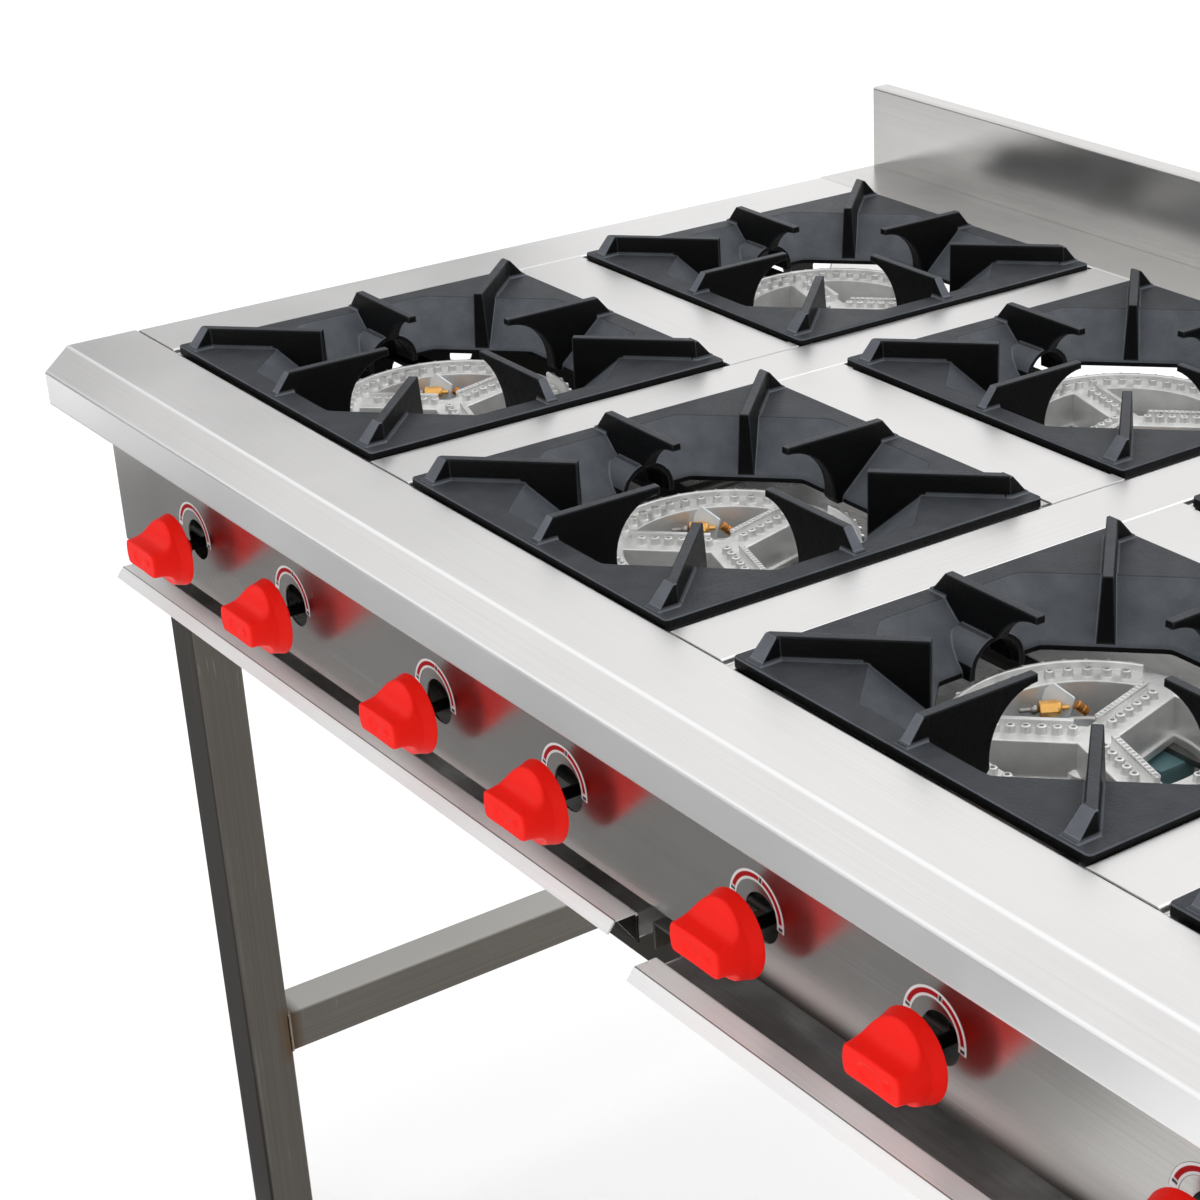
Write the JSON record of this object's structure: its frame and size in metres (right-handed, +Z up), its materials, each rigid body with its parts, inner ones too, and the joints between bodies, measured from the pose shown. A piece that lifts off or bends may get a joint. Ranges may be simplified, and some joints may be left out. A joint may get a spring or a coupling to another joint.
{
  "type": "gas stove",
  "caption": "Freestanding commercial gas stove with cast grates over ring burners, a knob panel, a splash and slide-out drip trays on a square-tube stand.",
  "frame": {"origin": "on the floor under the middle of the stove's box", "axes": "+X to the right of a cook who faces the knobs, +Y from the cook towards the splash, +Z up"},
  "size_m": [1.5098, 0.8432, 0.9735],
  "materials": {
    "stainless": "satin sheet with a fine grain",
    "panel_steel": "polished sheet with fine scratches",
    "stand_steel": "bare square tube, heat-stained at the welds",
    "tray_steel": "bright sheet, scratched on the floor",
    "grate_iron": "black enamel on rough casting",
    "burner_iron": "pale silver heat-proof coat on rough casting",
    "bar_steel": "dull flat steel",
    "knob_plastic": "bright red gloss",
    "stem_steel": "turned",
    "pipe_steel": "drawn pipe",
    "brass": "machined",
    "zinc_plate": "bright zinc",
    "foot_plastic": "black",
    "box_plastic": "teal"
  },
  "bodies": {
    "stove": {"apron": "stainless", "backsplash": "stainless", "bridge_plates": "stainless", "burner_back_1": "burner_iron", "burner_back_2": "burner_iron", "burner_back_3": "burner_iron", "burner_back_4": "burner_iron", "burner_bars": "bar_steel", "burner_front_1": "burner_iron", "burner_front_2": "burner_iron", "burner_front_3": "burner_iron", "burner_front_4": "burner_iron", "control_panel": "panel_steel", "dividers": "stainless", "foot_plugs": "foot_plastic", "gas_lines": "pipe_steel", "gas_manifold": "pipe_steel", "injectors": "brass", "leg_back_left": "stand_steel", "leg_back_right": "stand_steel", "leg_front_left": "stand_steel", "leg_front_right": "stand_steel", "long_rails": "stand_steel", "mixing_tubes": "burner_iron", "pilot_brackets": "zinc_plate", "pilot_burners": "brass", "rear_strip": "stainless", "side_left": "stainless", "side_rails": "stand_steel", "side_right": "stainless", "side_stretchers": "stand_steel", "spark_box": "box_plastic", "tray_guides": "stand_steel", "valves": "brass"},
    "grate_front_1": {"grate_front_1": "grate_iron"},
    "grate_front_2": {"grate_front_2": "grate_iron"},
    "grate_front_3": {"grate_front_3": "grate_iron"},
    "grate_front_4": {"grate_front_4": "grate_iron"},
    "grate_back_1": {"grate_back_1": "grate_iron"},
    "grate_back_2": {"grate_back_2": "grate_iron"},
    "grate_back_3": {"grate_back_3": "grate_iron"},
    "grate_back_4": {"grate_back_4": "grate_iron"},
    "tray_left": {"tray_left": "tray_steel"},
    "tray_right": {"tray_right": "tray_steel"},
    "stem_1": {"stem_1": "stem_steel"},
    "knob_1": {"knob_1": "knob_plastic"},
    "stem_2": {"stem_2": "stem_steel"},
    "knob_2": {"knob_2": "knob_plastic"},
    "stem_3": {"stem_3": "stem_steel"},
    "knob_3": {"knob_3": "knob_plastic"},
    "stem_4": {"stem_4": "stem_steel"},
    "knob_4": {"knob_4": "knob_plastic"},
    "stem_5": {"stem_5": "stem_steel"},
    "knob_5": {"knob_5": "knob_plastic"},
    "stem_6": {"stem_6": "stem_steel"},
    "knob_6": {"knob_6": "knob_plastic"},
    "stem_7": {"stem_7": "stem_steel"},
    "knob_7": {"knob_7": "knob_plastic"},
    "stem_8": {"stem_8": "stem_steel"},
    "knob_8": {"knob_8": "knob_plastic"}
  },
  "joints": [
    {"name": "grate_front_1_lift", "type": "slide", "parent": "stove", "child": "grate_front_1", "axis": [0, 0, 1], "range_m": [0, 0.06]},
    {"name": "grate_front_2_lift", "type": "slide", "parent": "stove", "child": "grate_front_2", "axis": [0, 0, 1], "range_m": [0, 0.06]},
    {"name": "grate_front_3_lift", "type": "slide", "parent": "stove", "child": "grate_front_3", "axis": [0, 0, 1], "range_m": [0, 0.06]},
    {"name": "grate_front_4_lift", "type": "slide", "parent": "stove", "child": "grate_front_4", "axis": [0, 0, 1], "range_m": [0, 0.06]},
    {"name": "grate_back_1_lift", "type": "slide", "parent": "stove", "child": "grate_back_1", "axis": [0, 0, 1], "range_m": [0, 0.06]},
    {"name": "grate_back_2_lift", "type": "slide", "parent": "stove", "child": "grate_back_2", "axis": [0, 0, 1], "range_m": [0, 0.06]},
    {"name": "grate_back_3_lift", "type": "slide", "parent": "stove", "child": "grate_back_3", "axis": [0, 0, 1], "range_m": [0, 0.06]},
    {"name": "grate_back_4_lift", "type": "slide", "parent": "stove", "child": "grate_back_4", "axis": [0, 0, 1], "range_m": [0, 0.06]},
    {"name": "tray_left_slide", "type": "slide", "parent": "stove", "child": "tray_left", "axis": [0, -1, 0], "range_m": [0, 0.5]},
    {"name": "tray_right_slide", "type": "slide", "parent": "stove", "child": "tray_right", "axis": [0, -1, 0], "range_m": [-0.02, 0.48]},
    {"name": "stem_1_push", "type": "slide", "parent": "stove", "child": "stem_1", "axis": [0, 1, 0], "range_m": [0, 0.003], "stiffness_N_per_m": 600, "springref_m": -0.002},
    {"name": "knob_1_turn", "type": "hinge", "parent": "stem_1", "child": "knob_1", "pos_m": [-0.61285, -0.3994, 0.774], "axis": [0, 1, 0], "range_deg": [0, 180]},
    {"name": "stem_2_push", "type": "slide", "parent": "stove", "child": "stem_2", "axis": [0, 1, 0], "range_m": [0, 0.003], "stiffness_N_per_m": 600, "springref_m": -0.002},
    {"name": "knob_2_turn", "type": "hinge", "parent": "stem_2", "child": "knob_2", "pos_m": [-0.45505, -0.3994, 0.774], "axis": [0, 1, 0], "range_deg": [0, 180]},
    {"name": "stem_3_push", "type": "slide", "parent": "stove", "child": "stem_3", "axis": [0, 1, 0], "range_m": [0, 0.003], "stiffness_N_per_m": 600, "springref_m": -0.002},
    {"name": "knob_3_turn", "type": "hinge", "parent": "stem_3", "child": "knob_3", "pos_m": [-0.25355, -0.3994, 0.774], "axis": [0, 1, 0], "range_deg": [0, 180]},
    {"name": "stem_4_push", "type": "slide", "parent": "stove", "child": "stem_4", "axis": [0, 1, 0], "range_m": [0, 0.003], "stiffness_N_per_m": 600, "springref_m": -0.002},
    {"name": "knob_4_turn", "type": "hinge", "parent": "stem_4", "child": "knob_4", "pos_m": [-0.09575, -0.3994, 0.774], "axis": [0, 1, 0], "range_deg": [0, 180]},
    {"name": "stem_5_push", "type": "slide", "parent": "stove", "child": "stem_5", "axis": [0, 1, 0], "range_m": [0, 0.003], "stiffness_N_per_m": 600, "springref_m": -0.002},
    {"name": "knob_5_turn", "type": "hinge", "parent": "stem_5", "child": "knob_5", "pos_m": [0.10575, -0.3994, 0.774], "axis": [0, 1, 0], "range_deg": [0, 180]},
    {"name": "stem_6_push", "type": "slide", "parent": "stove", "child": "stem_6", "axis": [0, 1, 0], "range_m": [0, 0.003], "stiffness_N_per_m": 600, "springref_m": -0.002},
    {"name": "knob_6_turn", "type": "hinge", "parent": "stem_6", "child": "knob_6", "pos_m": [0.26355, -0.3994, 0.774], "axis": [0, 1, 0], "range_deg": [0, 180]},
    {"name": "stem_7_push", "type": "slide", "parent": "stove", "child": "stem_7", "axis": [0, 1, 0], "range_m": [0, 0.003], "stiffness_N_per_m": 600, "springref_m": -0.002},
    {"name": "knob_7_turn", "type": "hinge", "parent": "stem_7", "child": "knob_7", "pos_m": [0.46505, -0.3994, 0.774], "axis": [0, 1, 0], "range_deg": [0, 180]},
    {"name": "stem_8_push", "type": "slide", "parent": "stove", "child": "stem_8", "axis": [0, 1, 0], "range_m": [0, 0.003], "stiffness_N_per_m": 600, "springref_m": -0.002},
    {"name": "knob_8_turn", "type": "hinge", "parent": "stem_8", "child": "knob_8", "pos_m": [0.62285, -0.3994, 0.774], "axis": [0, 1, 0], "range_deg": [0, 180]}
  ]
}
